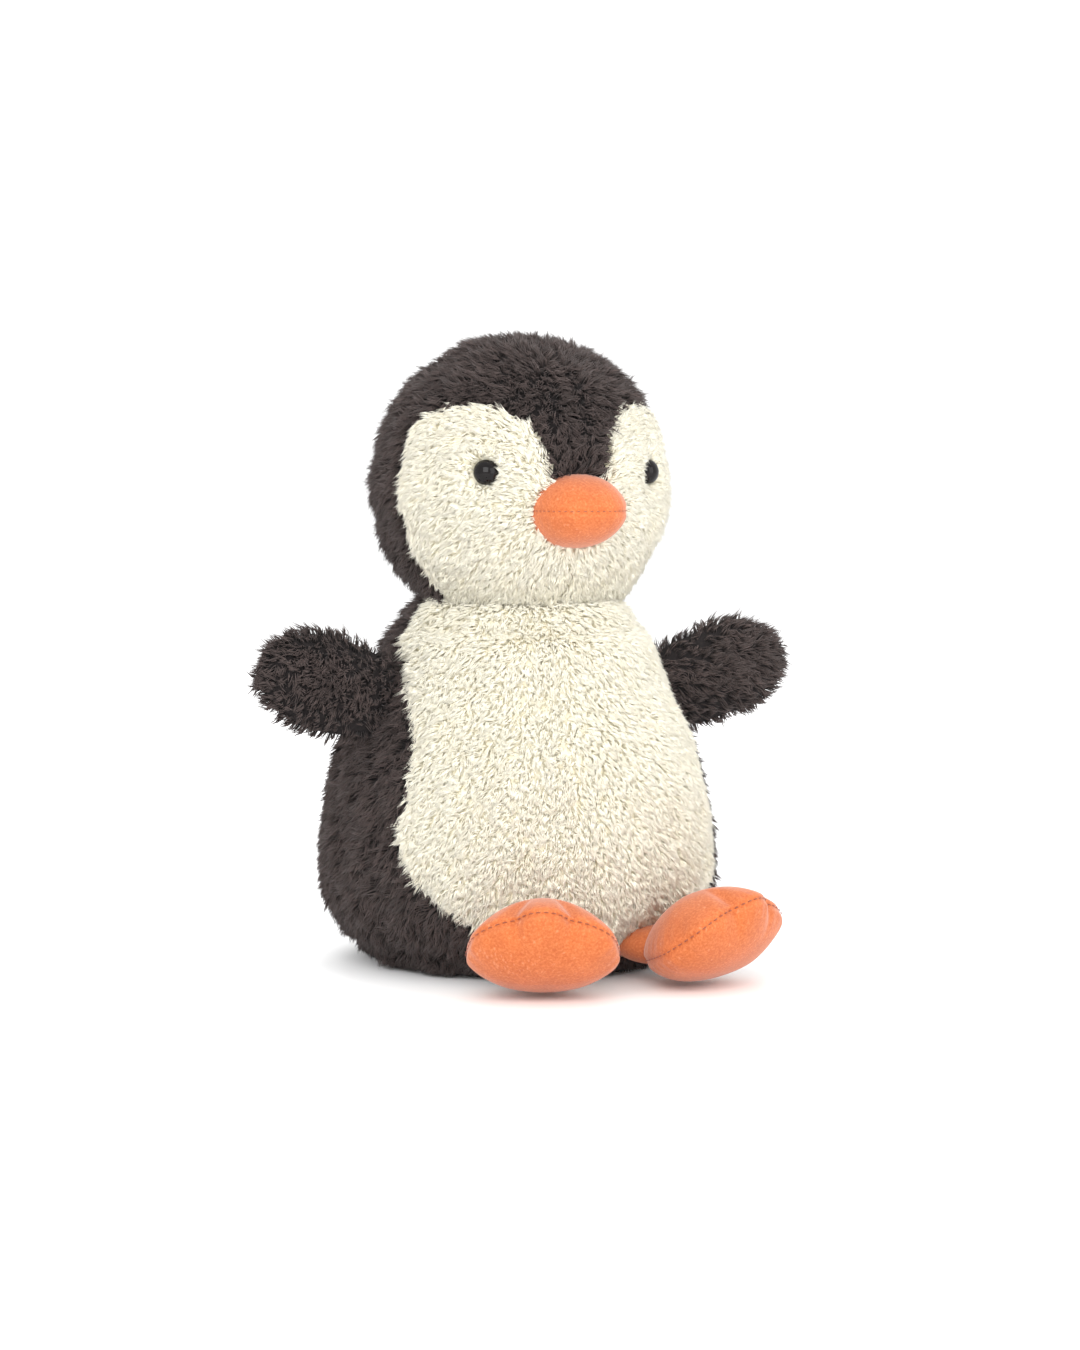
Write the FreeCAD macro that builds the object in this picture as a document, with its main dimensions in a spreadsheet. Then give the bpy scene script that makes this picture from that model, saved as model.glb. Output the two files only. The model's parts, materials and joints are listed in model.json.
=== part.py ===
"""A seated plush penguin, about 22 cm tall, as its sewn panels, stuffing, eyes and weights.

Frame: +Z up, the toy faces -Y, and +X is its own left. The origin is on the surface that it
sits on, under the middle of its bounding box. All sizes are millimetres.
"""
import FreeCAD, Part
import math
import os
from FreeCAD import Placement, Rotation, Vector

doc = FreeCAD.newDocument("plush_penguin")
dims = doc.addObject("Spreadsheet::Sheet", "dims")

DIMENSIONS = [
    # alias, value, what it is
    ("axis_y", 14.85, "the torso's upright axis, behind the origin"),
    ("pile", 5.0, "thickness of the pile fabric, backing and standing pile together"),
    ("wing_pile", 3.5, "thickness of the shorter pile fabric of the wings"),
    ("suede", 1.2, "thickness of the suede cloth of the beak and the feet"),
    ("gap", 0.2, "clearance between a cover and what fills it"),
    ("torso_tall", 114.0, "height of the torso's shoulders"),
    ("torso_seat", 44.0, "half width of the flat seat"),
    ("torso_hip", 67.0, "half width at the hips, the widest place"),
    ("torso_neck", 42.0, "half width at the shoulders"),
    ("torso_deep", 1.05, "depth of the torso over its width"),
    ("head_wide", 50.5, "half width of the head"),
    ("head_deep", 49.0, "half depth of the head"),
    ("head_tall", 51.0, "half height of the head"),
    ("head_mid", 162.5, "height of the head's middle"),
    ("head_lead", 2.5, "how far the head sits in front of the torso's axis"),
    ("head_rim", 123.0, "height of the head's lower edge"),
    ("neck_ball", 25.0, "radius of the plug of stuffing in the neck"),
    ("neck_mid", 118.0, "height of the neck's middle"),
    ("neck_gap", 0.4, "clearance round the neck's plug"),
    ("face_back", 10.0, "the face panels end this far in front of the head's middle"),
    ("lobe_out", 30.0, "middle of a face panel's round top, from the centre line"),
    ("lobe_mid", 171.5, "height of that middle"),
    ("lobe_round", 19.0, "radius of that round top"),
    ("blaze_half", 10.0, "half width of the dark blaze above the beak"),
    ("blaze_end", 165.0, "height of the blaze's lower end"),
    ("belly_neck", 44.0, "half width of the belly panel at the neck"),
    ("belly_wide", 58.5, "half width of the belly panel at its widest"),
    ("belly_mid", 47.0, "height of that widest place"),
    ("belly_drop", 38.0, "how far the belly panel's hem drops below that place"),
    ("base_high", 8.0, "height of the base panel's edge"),
    ("eye_round", 4.2, "radius of an eye's dome"),
    ("eye_proud", 3.6, "height of an eye's dome"),
    ("eye_turn", 38.0, "angle of an eye from straight ahead, in degrees"),
    ("eye_high", 167.5, "height of the eyes"),
    ("eye_flange", 1.4, "thickness of an eye's rim under its dome"),
    ("eye_sunk", 2.6, "how deep an eye's back sits in the pile"),
    ("post_round", 1.2, "radius of an eye's post"),
    ("post_long", 10.0, "length of an eye's post"),
    ("washer_round", 5.5, "radius of the washer that locks an eye"),
    ("washer_thick", 1.2, "thickness of that washer"),
    ("washer_grip", 0.05, "clearance between an eye's post and its washer"),
    ("beak_wide", 15.5, "half width of the beak"),
    ("beak_long", 19.0, "half length of the beak, its root inside the face"),
    ("beak_tall", 12.5, "half height of the beak"),
    ("beak_mid", 154.8, "height of the beak's seam"),
    ("beak_root", 5.0, "how far behind the face's surface the beak's middle lies"),
    ("wing_high", 94.5, "height of a wing's root"),
    ("wing_turn", 84.0, "angle of a wing from straight ahead, in degrees"),
    ("wing_lean", 20.0, "lean of a wing's sewn root towards the neck, in degrees"),
    ("wing_off", 62.4, "distance of a wing's root from the torso's axis"),
    ("wing_mid", 12.0, "middle of a wing, from its root"),
    ("wing_long", 25.5, "half length of a wing"),
    ("wing_half", 17.8, "half height of a wing"),
    ("wing_thick", 8.5, "half thickness of a wing"),
    ("wing_root", 7.4, "radius of a wing's rounded root"),
    ("wing_droop", 5.5, "angle between a wing and the square to its sewn root, in degrees"),
    ("foot_out", 24.0, "a foot's heel, from the centre line"),
    ("foot_ahead", 72.5, "a foot's heel, in front of the torso's axis"),
    ("foot_high", 10.5, "height of a foot's heel"),
    ("foot_splay", 25.0, "how far a foot turns out, in degrees"),
    ("foot_pitch", 30.0, "how far a foot's toes are raised, in degrees"),
    ("foot_mid", 15.0, "middle of a foot, from its heel's hinge"),
    ("foot_long", 21.0, "half length of a foot"),
    ("foot_wide", 24.5, "half width of a foot"),
    ("foot_thick", 15.0, "half thickness of a foot"),
    ("heel_round", 8.0, "radius of a heel about its hinge"),
    ("pouch_wide", 40.0, "half width of the pouch of pellets"),
    ("pouch_tall", 15.0, "half height of the pouch"),
    ("pouch_mid", 22.0, "height of its middle"),
    ("pouch_cloth", 0.8, "thickness of the pouch's cloth"),
    ("label_wide", 16.0, "width of the sewn-in label"),
    ("label_long", 10.0, "how far the label stands out of the seam"),
    ("label_thick", 0.8, "thickness of the folded label"),
    ("label_sunk", 4.5, "how deep the label's root sits in the pile fabric"),
    ("label_high", 32.0, "height of the label's lower edge"),
]
for row, (alias, value, words) in enumerate(DIMENSIONS, start=1):
    dims.set(f"A{row}", alias)
    dims.set(f"B{row}", str(value))
    dims.set(f"C{row}", words)
    dims.setAlias(f"B{row}", alias)
doc.recompute()
ALIASES = {alias for alias, _, _ in DIMENSIONS}
nodes = {}


def size(alias):
    """A driving dimension's value."""
    return float(dims.get(alias))


def bind(thing, **expressions):
    """Binds properties to expressions, in which a word that is an alias means its cell."""
    for name, text in expressions.items():
        words = text.replace("(", "( ").replace(")", " )").split()
        thing.setExpression(name, " ".join(f"dims.{w}" if w in ALIASES else w for w in words))
    return thing


def solid(kind, name, place, **expressions):
    """A Part primitive with its sizes bound to the sheet."""
    made = bind(doc.addObject(f"Part::{kind}", name), **expressions)
    made.Placement = place
    return made


def both(kind, name, base, tool):
    """A boolean of two objects: Cut or Common."""
    made = doc.addObject(f"Part::{kind}", name)
    made.Base, made.Tool = base, tool
    return made


def fuse(name, parts):
    """Several objects made one."""
    made = doc.addObject("Part::MultiFuse", name)
    made.Shapes = parts
    return made


def cutting_box(name, low, high, place=Placement()):
    """A box between two corners, in a frame of its own, that only cuts."""
    made = doc.addObject("Part::Box", name)
    made.Length, made.Width, made.Height = (b - a for a, b in zip(low, high))
    made.Placement = place.multiply(Placement(Vector(*low), Rotation()))
    return made


def node(name, thing):
    """Marks an object as a sub-part, under the name of its file."""
    thing.Label = name
    nodes[name] = thing
    return thing


FAR = 150.0  # a cutting box reaches this far
AXIS = Vector(0, size("axis_y"), 0)
HEAD = AXIS + Vector(0, -size("head_lead"), size("head_mid"))
NECK = AXIS + Vector(0, 0, size("neck_mid"))
UP = Vector(0, 0, 1)
ACROSS = Vector(1, 0, 0)
SIDES = {"left": 1.0, "right": -1.0}

# The torso's sections: each one's share of the height, and its half width.
TORSO = [
    (0.0, "torso_seat"),
    (0.035, "torso_seat + 8"),
    (0.09, "torso_hip - 9"),
    (0.16, "torso_hip - 3.2"),
    (0.31, "torso_hip"),
    (0.46, "torso_hip - 1.8"),
    (0.61, "torso_hip - 5.5"),
    (0.765, "torso_hip - 12.7"),
    (0.90, "torso_hip - 19.5"),
    (1.0, "torso_neck"),
]


def torso_form(name, inset, depth):
    """The torso's outer shape, or the same shape drawn in: inset is an expression, depth its value."""
    turned = Rotation(UP, 90)
    rings = []
    for i, (share, half) in enumerate(TORSO):
        high = depth + share * (size("torso_tall") - 2 * depth)
        ring = doc.addObject("Part::Ellipse", f"{name}_ring{i}")
        bind(ring, MinorRadius=f"{half} - {inset}", MajorRadius=f"( {half} - {inset} ) * torso_deep")
        ring.Placement = Placement(AXIS + Vector(0, 0, high), turned)
        rings.append(ring)
    loft = doc.addObject("Part::Loft", name)
    loft.Sections = rings
    loft.Solid = True
    return loft


def head_form(name, inset):
    """The head's outer shape, or the same shape drawn in, above the head's lower edge."""
    egg = solid(
        "Ellipsoid", f"{name}_egg", Placement(HEAD, Rotation()),
        Radius1=f"head_tall - {inset}", Radius2=f"head_wide - {inset}",
        Radius3=f"head_deep - {inset}",
    )
    rim = size("head_rim")
    above = cutting_box(f"{name}_above", (-FAR, -FAR, rim), (FAR, FAR, 2 * FAR))
    return both("Common", name, egg, above)


def neck():
    """The plug of stuffing in the neck, and the room that the head and torso leave for it."""
    place = Placement(NECK, Rotation())
    node("neck_filling", solid("Sphere", "neck_plug", place, Radius="neck_ball"))
    return solid("Sphere", "neck_room", place, Radius="neck_ball + neck_gap")


def belly_cutter():
    """Stands for everything that is in front of the belly panel's side and lower seams."""
    forward = Placement(AXIS + Vector(0, 0, size("belly_mid")), Rotation(ACROSS, 90))
    lower = doc.addObject("Part::Ellipse", "belly_hem_curve")
    bind(lower, MajorRadius="belly_wide", MinorRadius="belly_drop")
    lower.Placement = forward
    round_hem = doc.addObject("Part::Extrusion", "belly_hem")
    round_hem.Base = lower
    round_hem.DirMode = "Custom"
    round_hem.Dir = Vector(0, -1, 0)
    round_hem.LengthFwd = FAR
    round_hem.Solid = True
    sides = doc.addObject("Part::Wedge", "belly_sides")
    sides.Ymin, sides.Zmin, sides.Z2min = 0, 0, 0
    sides.Zmax, sides.Z2max = FAR, FAR
    bind(
        sides, Xmin="0 - belly_wide", Xmax="belly_wide",
        X2min="0 - belly_neck", X2max="belly_neck", Ymax="torso_tall - belly_mid",
    )
    sides.Placement = forward
    return fuse("belly_cutter", [round_hem, sides])


def sewn_label():
    """A blank folded label that stands out of the centre seam at the back, and its slot."""
    back = size("torso_hip") * size("torso_deep") - size("label_sunk")
    place = Placement(AXIS + Vector(-size("label_thick") / 2, back, size("label_high")), Rotation())
    tag = solid("Box", "label_strip", place, Length="label_thick", Width="label_long",
                Height="label_wide")
    return node("sewn_label", tag)


def torso(neck_room):
    """The cream belly, two dark backs, the base, the stuffing, and the pouch of pellets."""
    outer = torso_form("torso_outer", "0", 0.0)
    inner = torso_form("torso_inner", "pile", size("pile"))
    shell = both("Cut", "torso_shell", both("Cut", "torso_hollow", outer, inner), neck_room)
    edge = size("base_high")
    under = cutting_box("base_cutter", (-FAR, -FAR, -FAR), (FAR, FAR, edge))
    node("base_panel", both("Common", "base_piece", shell, under))
    upper = both("Cut", "torso_upper", shell, under)
    belly = belly_cutter()
    node("belly_panel", both("Common", "belly_piece", upper, belly))
    tag = sewn_label()
    backs = both("Cut", "back_both", both("Cut", "back_whole", upper, belly), tag)
    for side, sign in SIDES.items():
        low, high = sorted((0.0, sign * FAR))
        half = cutting_box(f"back_{side}_cutter", (low, -FAR, 0), (high, FAR, 2 * FAR))
        node(f"back_panel_{side}", both("Common", f"back_piece_{side}", backs, half))

    middle = Placement(AXIS + Vector(0, 0, size("pouch_mid")), Rotation())
    room = solid("Ellipsoid", "pouch_room", middle, Radius1="pouch_tall + gap",
                 Radius2="pouch_wide + gap", Radius3="pouch_wide + gap")
    pouch = solid("Ellipsoid", "pouch_outer", middle, Radius1="pouch_tall",
                  Radius2="pouch_wide", Radius3="pouch_wide")
    inside = solid("Ellipsoid", "pouch_inner", middle, Radius1="pouch_tall - pouch_cloth",
                   Radius2="pouch_wide - pouch_cloth", Radius3="pouch_wide - pouch_cloth")
    pellets = solid(
        "Ellipsoid", "pellet_mass", middle, Radius1="pouch_tall - pouch_cloth - gap",
        Radius2="pouch_wide - pouch_cloth - gap", Radius3="pouch_wide - pouch_cloth - gap",
    )
    node("bean_pouch", both("Cut", "pouch_piece", pouch, inside))
    node("bean_pellets", pellets)
    stuffing = torso_form("torso_core", "pile - gap", size("pile") + size("gap"))
    stuffing = both("Cut", "core_neck", stuffing, neck_room)
    stuffing = both("Cut", "core_pouch", stuffing, room)
    node("torso_filling", stuffing)


def eye_place(sign):
    """Where the middle of an eye's back lies, with +Z pointing out of the head."""
    turn = math.radians(size("eye_turn"))
    rise = size("eye_high") - size("head_mid")
    level = math.sqrt(1 - (rise / size("head_tall")) ** 2)
    wide = size("head_wide") * level
    deep = size("head_deep") * level
    reach = 1 / math.hypot(math.sin(turn) / wide, math.cos(turn) / deep)
    outward = Vector(sign * math.sin(turn), -math.cos(turn), rise / size("head_tall")).normalize()
    on_skin = Vector(sign * math.sin(turn) * reach, -math.cos(turn) * reach, rise)
    return Placement(HEAD + on_skin - outward * size("eye_sunk"), Rotation(UP, outward))


def eye(side, sign):
    """A domed eye with its post and lock washer. Returns the room they need in the head."""
    place = eye_place(sign)

    def along(offset):
        return place.multiply(Placement(Vector(0, 0, offset), Rotation()))

    dome = solid("Ellipsoid", f"eye_dome_{side}", along(size("eye_flange")), Radius1="eye_proud",
                 Radius2="eye_round", Radius3="eye_round")
    dome.Angle1 = 0  # only the outer half
    flange = solid("Cylinder", f"eye_flange_{side}", place, Radius="eye_round", Height="eye_flange")
    post = solid("Cylinder", f"eye_post_{side}", along(-size("post_long")), Radius="post_round",
                 Height="post_long + eye_flange")
    node(f"eye_{side}", fuse(f"eye_piece_{side}", [dome, flange, post]))

    behind = size("pile") - size("eye_sunk") + 4 * size("gap")
    depth = behind + size("washer_thick")
    ring = solid("Cylinder", f"washer_disc_{side}", along(-depth), Radius="washer_round",
                 Height="washer_thick")
    hole = solid("Cylinder", f"washer_hole_{side}", along(-depth - 1), Radius="post_round + washer_grip",
                 Height="washer_thick + 2")
    node(f"eye_washer_{side}", both("Cut", f"washer_piece_{side}", ring, hole))

    seat = solid("Cylinder", f"eye_seat_{side}", place, Radius="eye_round + gap", Height="eye_sunk * 4")
    bore = solid("Cylinder", f"eye_bore_{side}", along(-size("post_long") - 1),
                 Radius="post_round + gap", Height="post_long + 2")
    pocket = solid(
        "Cylinder", f"eye_pocket_{side}", along(-depth - size("gap")), Radius="washer_round + gap",
        Height="washer_thick + gap * 6",
    )
    return fuse(f"eye_room_{side}", [seat, bore, pocket])


def face_cutter(side, sign):
    """Stands for what is in front of a face panel's seams: its lobe, its cheek and its chin."""
    front = HEAD.y - size("face_back")
    lobe = solid(
        "Cylinder", f"lobe_{side}",
        Placement(Vector(sign * size("lobe_out"), front, size("lobe_mid")), Rotation(ACROSS, 90)),
        Radius="lobe_round", Height="head_deep * 2",
    )
    parts = [lobe]
    for name, inner, top in (("cheek", "blaze_half", "lobe_mid"), ("chin", None, "blaze_end")):
        edge = size(inner) if inner else 0.0
        low, high = sorted((sign * edge, sign * FAR))
        parts.append(cutting_box(f"{name}_{side}", (low, -FAR, 0.0), (high, front, size(top))))
    return fuse(f"face_cutter_{side}", parts)


def beak(skin):
    """Two suede halves with a seam round the middle, and their stuffing, in front of the skin."""
    centre = HEAD + Vector(0, -size("head_deep") + size("beak_root"), 0)
    centre.z = size("beak_mid")
    place = Placement(centre, Rotation())

    def form(name, inset):
        blunt = solid("Ellipsoid", f"{name}_egg", place, Radius1=f"beak_tall - {inset}",
                      Radius2=f"beak_wide - {inset}", Radius3=f"beak_long - {inset}")
        return both("Cut", name, blunt, skin)

    outer, inner = form("beak_outer", "0"), form("beak_inner", "suede")
    shell = both("Cut", "beak_shell", outer, inner)
    for name, low, high in (("upper", centre.z, 2 * FAR), ("lower", 0.0, centre.z)):
        half = cutting_box(f"beak_{name}_cutter", (-FAR, -FAR, low), (FAR, FAR, high))
        node(f"beak_{name}", both("Common", f"beak_piece_{name}", shell, half))
    node("beak_filling", form("beak_core", "suede - gap"))


def head(neck_room):
    """The dark covers, the cream face, the stuffing, the eyes and the beak."""
    outer = head_form("head_outer", "0")
    inner = head_form("head_inner", "pile")
    rooms = [eye(side, sign) for side, sign in SIDES.items()]
    rooms.append(neck_room)
    room = fuse("head_rooms", rooms)
    shell = both("Cut", "head_shell", both("Cut", "head_hollow", outer, inner), room)
    faces = {side: face_cutter(side, sign) for side, sign in SIDES.items()}
    face = fuse("face_cutters", list(faces.values()))
    cover = both("Cut", "cover_whole", shell, face)
    for side, sign in SIDES.items():
        node(f"face_panel_{side}", both("Common", f"face_piece_{side}", shell, faces[side]))
        low, high = sorted((0.0, sign * FAR))
        half = cutting_box(f"cover_{side}_cutter", (low, -FAR, 0), (high, FAR, 2 * FAR))
        node(f"head_cover_{side}", both("Common", f"cover_piece_{side}", cover, half))
    node("head_filling", both("Cut", "head_core_piece", head_form("head_core", "pile - gap"), room))
    skin = solid("Ellipsoid", "beak_skin", Placement(HEAD, Rotation()), Radius1="head_tall + gap",
                 Radius2="head_wide + gap", Radius3="head_deep + gap")
    beak(skin)


def limb_form(name, place, inset, sizes, root, middle, droop):
    """An egg whose near end is rounded about the hinge, which lies on its own Y axis."""
    long, wide, thick = sizes
    turned = Placement(Vector(), Rotation(UP, droop))
    ahead_of_hinge = Placement(Vector(size(middle), 0, 0), Rotation())
    egg = solid(
        "Ellipsoid", f"{name}_egg", place.multiply(turned).multiply(ahead_of_hinge),
        Radius2=f"{long} - {inset}", Radius3=f"{wide} - {inset}", Radius1=f"{thick} - {inset}",
    )
    barrel = solid(
        "Cylinder", f"{name}_root",
        place.multiply(Placement(Vector(0, FAR / 2, 0), Rotation(ACROSS, 90))),
        Radius=f"{root} - {inset}",
    )
    barrel.Height = FAR
    ahead = cutting_box(f"{name}_ahead", (0, -FAR, -FAR), (FAR, FAR, FAR), place)
    return both("Common", name, egg, fuse(f"{name}_keep", [barrel, ahead]))


def limb(name, place, cloth, sizes, root, middle, halves, droop=0.0):
    """A stuffed limb: two halves of cloth that meet in the limb's flat middle, and its filling."""
    outer = limb_form(f"{name}_outer", place, "0", sizes, root, middle, droop)
    inner = limb_form(f"{name}_inner", place, cloth, sizes, root, middle, droop)
    shell = both("Cut", f"{name}_shell", outer, inner)
    for half, low, high in ((halves[0], 0.0, FAR), (halves[1], -FAR, 0.0)):
        cutter = cutting_box(f"{name}_{half}_cutter", (-FAR, -FAR, low), (FAR, FAR, high), place)
        node(f"{name}_{half}", both("Common", f"{name}_{half}_piece", shell, cutter))
    node(f"{name}_filling", limb_form(f"{name}_core", place, f"{cloth} - gap", sizes, root,
                                      middle, droop))


def wings():
    """Two paddles of pile, each sewn to a shoulder along a line that leans to the neck."""
    turn = math.radians(size("wing_turn"))
    for side, sign in SIDES.items():
        out = Vector(sign * math.sin(turn), -math.cos(turn), 0)
        lean = Rotation(Vector(-out.y, out.x, 0), -size("wing_lean"))
        along, seam = lean.multVec(out), lean.multVec(UP)
        root = AXIS + out * size("wing_off") + Vector(0, 0, size("wing_high"))
        place = Placement(root, Rotation(along, seam, along.cross(seam), "XYZ"))
        halves = ("back", "front") if sign > 0 else ("front", "back")
        sizes = ("wing_long", "wing_half", "wing_thick")
        limb(f"wing_{side}", place, "wing_pile", sizes, "wing_root", "wing_mid", halves,
             -size("wing_droop"))


def feet():
    """Two suede pads, toes up and turned out, each sewn to the belly at its heel."""
    for side, sign in SIDES.items():
        ahead = Rotation(UP, sign * size("foot_splay")).multVec(Vector(0, -1, 0))
        width = UP.cross(ahead)
        along = Rotation(width, -size("foot_pitch")).multVec(ahead)
        heel = AXIS + Vector(sign * size("foot_out"), -size("foot_ahead"), size("foot_high"))
        place = Placement(heel, Rotation(along, width, along.cross(width), "XYZ"))
        sizes = ("foot_long", "foot_wide", "foot_thick")
        limb(f"foot_{side}", place, "suede", sizes, "heel_round", "foot_mid", ("top", "sole"))


def write():
    """Checks every object, then writes each sub-part's file."""
    doc.recompute()
    for thing in doc.Objects:
        if {"Invalid", "Error"} & set(thing.State):
            raise RuntimeError(f"{thing.Name} is not valid: {thing.State}")
    os.makedirs("parts", exist_ok=True)
    for name, thing in nodes.items():
        if thing.Shape.isNull() or not thing.Shape.isValid() or len(thing.Shape.Solids) != 1:
            raise RuntimeError(f"{name} has no single sound solid: {len(thing.Shape.Solids)}")
        thing.Shape.exportStep(f"parts/{name}.step")


plug_room = neck()
torso(plug_room)
head(plug_room)
wings()
feet()
write()
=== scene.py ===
"""The plush penguin's looks: pile built from strands, suede beak and feet, eyes, label, floor and light."""
import json
import math

import bmesh
import bpy
import numpy as np
from mathutils import Matrix, Vector
from mathutils.bvhtree import BVHTree

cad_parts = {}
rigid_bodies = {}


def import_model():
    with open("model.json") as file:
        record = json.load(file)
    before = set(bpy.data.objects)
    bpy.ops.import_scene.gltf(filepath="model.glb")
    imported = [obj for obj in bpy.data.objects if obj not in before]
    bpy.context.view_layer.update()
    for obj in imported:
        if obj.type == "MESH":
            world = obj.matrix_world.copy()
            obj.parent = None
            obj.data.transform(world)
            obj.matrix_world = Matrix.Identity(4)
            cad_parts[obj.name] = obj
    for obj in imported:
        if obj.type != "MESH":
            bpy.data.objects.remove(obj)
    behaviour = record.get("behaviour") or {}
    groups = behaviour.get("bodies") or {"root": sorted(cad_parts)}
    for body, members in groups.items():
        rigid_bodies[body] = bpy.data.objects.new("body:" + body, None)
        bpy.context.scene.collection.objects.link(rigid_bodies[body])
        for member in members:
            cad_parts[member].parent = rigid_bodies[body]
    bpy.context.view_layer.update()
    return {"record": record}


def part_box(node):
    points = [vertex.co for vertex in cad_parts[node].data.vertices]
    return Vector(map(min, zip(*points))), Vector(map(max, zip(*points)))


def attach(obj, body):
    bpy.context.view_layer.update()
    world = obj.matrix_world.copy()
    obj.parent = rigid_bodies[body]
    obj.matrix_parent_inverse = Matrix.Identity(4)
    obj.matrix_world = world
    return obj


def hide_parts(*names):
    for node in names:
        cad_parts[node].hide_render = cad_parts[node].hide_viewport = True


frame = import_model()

rng = np.random.default_rng(11)
MM = 0.001
FULL_TURN = 2 * math.pi
UP = np.array([0.0, 0.0, 1.0])
JOINTS = {j["name"]: j for j in frame["record"]["behaviour"]["joints"]}
NECK = np.array(JOINTS["head_turn"]["pos_m"])
AXIS_Y = NECK[1]
WING_TURN = math.radians(84)  # of a wing, from straight ahead
RAY_REACH = 0.3  # from a form's centre to well outside it


def node_box(*names):
    """The lowest and highest corners of several CAD nodes together."""
    boxes = [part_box(n) for n in names]
    low = np.min([np.array(b[0]) for b in boxes], axis=0)
    high = np.max([np.array(b[1]) for b in boxes], axis=0)
    return low, high


def unit(v):
    """Vectors of the same direction and length 1."""
    return v / np.maximum(np.linalg.norm(v, axis=-1, keepdims=True), 1e-12)


# ---------------------------------------------------------------- smooth noise


def wave_noise(points, scale, seed, octaves=2):
    """Smooth noise between about -1 and 1, made of a few waves in fixed directions."""
    local = np.random.default_rng(seed)
    total = np.zeros(points.shape[:-1])
    gain = 1.0
    for _ in range(octaves):
        for _ in range(5):
            way = unit(local.normal(size=3)) * (FULL_TURN / scale) * local.uniform(0.7, 1.4)
            total += gain * np.sin(points @ way + local.uniform(0, FULL_TURN))
        scale *= 0.5
        gain *= 0.5
    return total / 3.2


# ---------------------------------------------------------------- soft forms from the CAD panels

SCATTER = 0.42  # how far a tuft may lie from its even place, in spacings


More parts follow.
